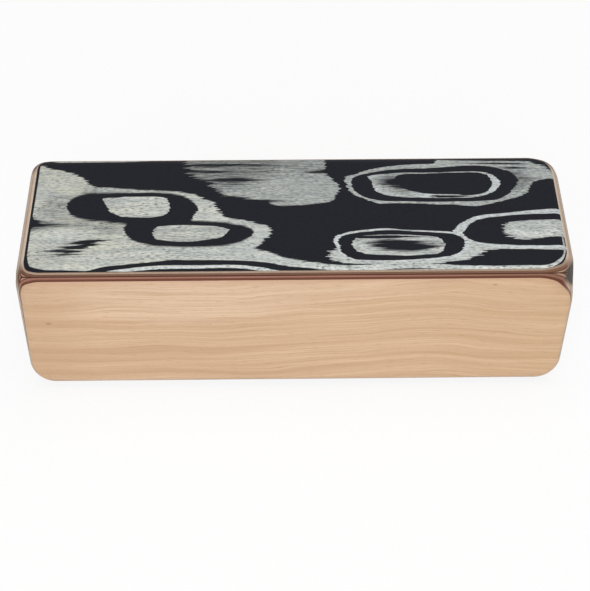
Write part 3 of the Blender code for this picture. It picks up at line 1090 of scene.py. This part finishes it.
def cut_ply(block, panel, ply):
    """One ply of a panel, sawn out of the sanded block: its upper and lower faces and its four mitres."""
    axis, side, _ = PANELS[panel]
    upper, lower = ply_depths(panel, ply)
    outwards = pointing(axis, side)
    bm = block.copy()
    saw_off(bm, outwards * (HALF_SIZE[axis] - lower), -outwards)
    if ply != "face_veneer":
        saw_off(bm, outwards * (HALF_SIZE[axis] - upper), outwards)
    glue_inset = MITRE_GLUE / 2 * math.sqrt(2)
    for other in range(3):
        if other == axis:
            continue
        for other_side in (-1, 1):
            sideways = pointing(other, other_side)
            place = outwards * HALF_SIZE[axis] + sideways * (HALF_SIZE[other] - glue_inset)
            saw_off(bm, place, sideways - outwards)
    bmesh.ops.translate(bm, vec=BOX_CENTRE, verts=bm.verts)
    bmesh.ops.recalc_face_normals(bm, faces=bm.faces)
    return bm


def add_ply(block, panel, ply, material):
    """A fine ply that stands for the plain one, shaded smooth over the sanding and sharp at its cuts."""
    slot = SLOTS[PANELS[panel][2], ply]
    name = f"{panel}_{slot}"
    bm = cut_ply(block, panel, ply)
    mesh = bpy.data.meshes.new(name)
    bm.to_mesh(mesh)
    bm.free()
    mesh.shade_smooth()
    mesh.set_sharp_from_angle(angle=CUT_ANGLE)
    mesh.materials.append(material)
    piece = bpy.data.objects.new(name, mesh)
    bpy.context.scene.collection.objects.link(piece)
    evened = piece.modifiers.new("flat_faces_stay_flat", "WEIGHTED_NORMAL")
    evened.keep_sharp = True
    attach(piece, "box")
    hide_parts(f"{panel}_{ply}")


def refinish(node, material):
    """Gives a plain piece that stays in place a finish of its own."""
    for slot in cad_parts[node].material_slots:
        slot.material = material


def add_panels():
    """The six panels: new plies where sanding lays them bare, and finishes for the plies inside."""
    faces = {
        "top": figured_veneer("top", 1),
        "bottom": figured_veneer("bottom", -1),
        "left_end": figured_veneer("left_end", -1),
        "right_end": figured_veneer("right_end", -1),
        "front": beech_veneer("front", 1),
        "back": beech_veneer("back", -1),
    }
    liner_colours = (LINER_PLY, LINER_PLY_DEEP)
    liner = ply_edge("liner_veneer", liner_colours, liner_colours, False)
    # Lighter colours along the grain, partly painted light on the ends
    pale_sides_and_light = (SIDE_GRAIN_PALE_AND_LIGHT, SIDE_GRAIN_BEIGE_AND_LIGHT)
    warm_sides_and_light = (SIDE_GRAIN_BEIGE_AND_LIGHT, SIDE_GRAIN_PINK_AND_LIGHT)
    shaded_sides = (SIDE_GRAIN_DARK, SIDE_GRAIN_SHADE)
    crossbands = {
        "figured": ply_edge("pale_crossband", (PALE_PLY, PALE_PLY_DEEP), pale_sides_and_light, False),
        "beech": ply_edge("dark_crossband", (DARK_PLY, DARK_PLY_DEEP), shaded_sides, False),
    }
    cores = {
        "figured": ply_edge("brown_core", (BROWN_PLY, BROWN_PLY_LIGHT), warm_sides_and_light, True),
        "beech": ply_edge("reddish_core", (RED_PLY, RED_PLY_LIGHT), warm_sides_and_light, True),
    }
    block = sanded_block()
    for panel, (_, _, facing) in PANELS.items():
        add_ply(block, panel, "face_veneer", faces[panel])
        add_ply(block, panel, "outer_crossband", crossbands[facing])
        add_ply(block, panel, "core", cores[facing])
        refinish(f"{panel}_inner_crossband", crossbands[facing])
        refinish(f"{panel}_liner", liner)
    block.free()


def add_beads():
    """The plain beads stay, and get a finish."""
    steel = bead_steel()
    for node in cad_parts:
        if node.startswith("bead_"):
            refinish(node, steel)


# The table in metres, its share of glow, and how strong the light from the sky is
TABLE_HALF_SIZE = 3.0
TABLE_GAP = 0.00005
TABLE_GLOW = 0.85
SKY_LIGHT = 0.38


def looked_at(nodes):
    """1 for rays from the camera, from a gloss or through glass, 0 for those that carry light about."""
    rays = nodes.node("ShaderNodeLightPath", {}, {}).outputs
    kinds = ("Is Camera Ray", "Is Glossy Ray", "Is Transmission Ray")
    camera, gloss, glass = [Amount(nodes, rays[kind]) for kind in kinds]
    return camera.at_least(gloss).at_least(glass)


def table_white():
    """Matt white, with a glow for the camera that leaves a soft shadow."""
    material = bpy.data.materials.new("table_white")
    material.use_nodes = True
    material.node_tree.nodes.clear()
    nodes = Nodes(material.node_tree)
    matt = nodes.node("ShaderNodeBsdfDiffuse", {}, {"Color": linear(TABLE)})
    glow = nodes.node("ShaderNodeEmission", {}, {})
    shaders = {0: looked_at(nodes) * TABLE_GLOW, 1: matt.outputs[0], 2: glow.outputs[0]}
    mix = nodes.node("ShaderNodeMixShader", {}, shaders)
    nodes.node("ShaderNodeOutputMaterial", {}, {0: mix.outputs[0]})
    return material


def add_table():
    """A plain white table top under the box."""
    bm = bmesh.new()
    bmesh.ops.create_grid(bm, x_segments=1, y_segments=1, size=TABLE_HALF_SIZE)
    bmesh.ops.translate(bm, vec=(0, 0, BOX_LOW.z - TABLE_GAP), verts=bm.verts)
    mesh = bpy.data.meshes.new("table")
    bm.to_mesh(mesh)
    bm.free()
    mesh.materials.append(table_white())
    table = bpy.data.objects.new("table", mesh)
    bpy.context.scene.collection.objects.link(table)


def add_sky():
    """White all round where the camera looks past the table, and an even, dimmer light from it."""
    world = bpy.data.worlds.new("studio")
    bpy.context.scene.world = world
    world.use_nodes = True
    nodes = Nodes(world.node_tree)
    background = nodes.tree.nodes["Background"].inputs
    nodes.feed(background["Color"], (1, 1, 1, 1))
    nodes.feed(background["Strength"], looked_at(nodes) * (1 - SKY_LIGHT) + SKY_LIGHT)


# Soft boxes: place, side in metres, power in watts
SOFT_BOXES = {
    "front_soft_box": ((-0.10, -0.85, 0.60), 0.8, 5.6),
    "overhead_soft_box": ((0.10, 0.10, 1.10), 0.9, 4.4),
}


def add_soft_boxes():
    """Two soft lamps that look at the middle of the box."""
    for name, (place, side, power) in SOFT_BOXES.items():
        lamp = bpy.data.lights.new(name, "AREA")
        lamp.size = side
        lamp.energy = power
        holder = bpy.data.objects.new(name, lamp)
        holder.location = place
        holder.rotation_euler = (BOX_CENTRE - Vector(place)).to_track_quat("-Z", "Y").to_euler()
        bpy.context.scene.collection.objects.link(holder)


def add_camera():
    """A camera at the photograph's viewing angle."""
    lens = bpy.data.cameras.new("camera")
    lens.lens = VIEW_LENS
    lens.sensor_width = SENSOR
    camera = bpy.data.objects.new("camera", lens)
    bpy.context.scene.collection.objects.link(camera)
    tilt = Matrix.Rotation(math.radians(90 - VIEW_ELEVATION), 4, "X")
    roll = Matrix.Rotation(math.radians(VIEW_ROLL), 4, "Z")
    turn = Matrix.Rotation(math.radians(-VIEW_TURN), 4, "Z")
    back_off = Matrix.Translation((-VIEW_SHIFT_RIGHT, -VIEW_SHIFT_UP, VIEW_DISTANCE))
    camera.matrix_world = Matrix.Translation(BOX_CENTRE) @ turn @ tilt @ roll @ back_off
    bpy.context.scene.camera = camera


bpy.context.scene.view_settings.view_transform = "Standard"
add_panels()
add_beads()
add_table()
add_sky()
add_soft_boxes()
add_camera()

bpy.context.view_layer.update()
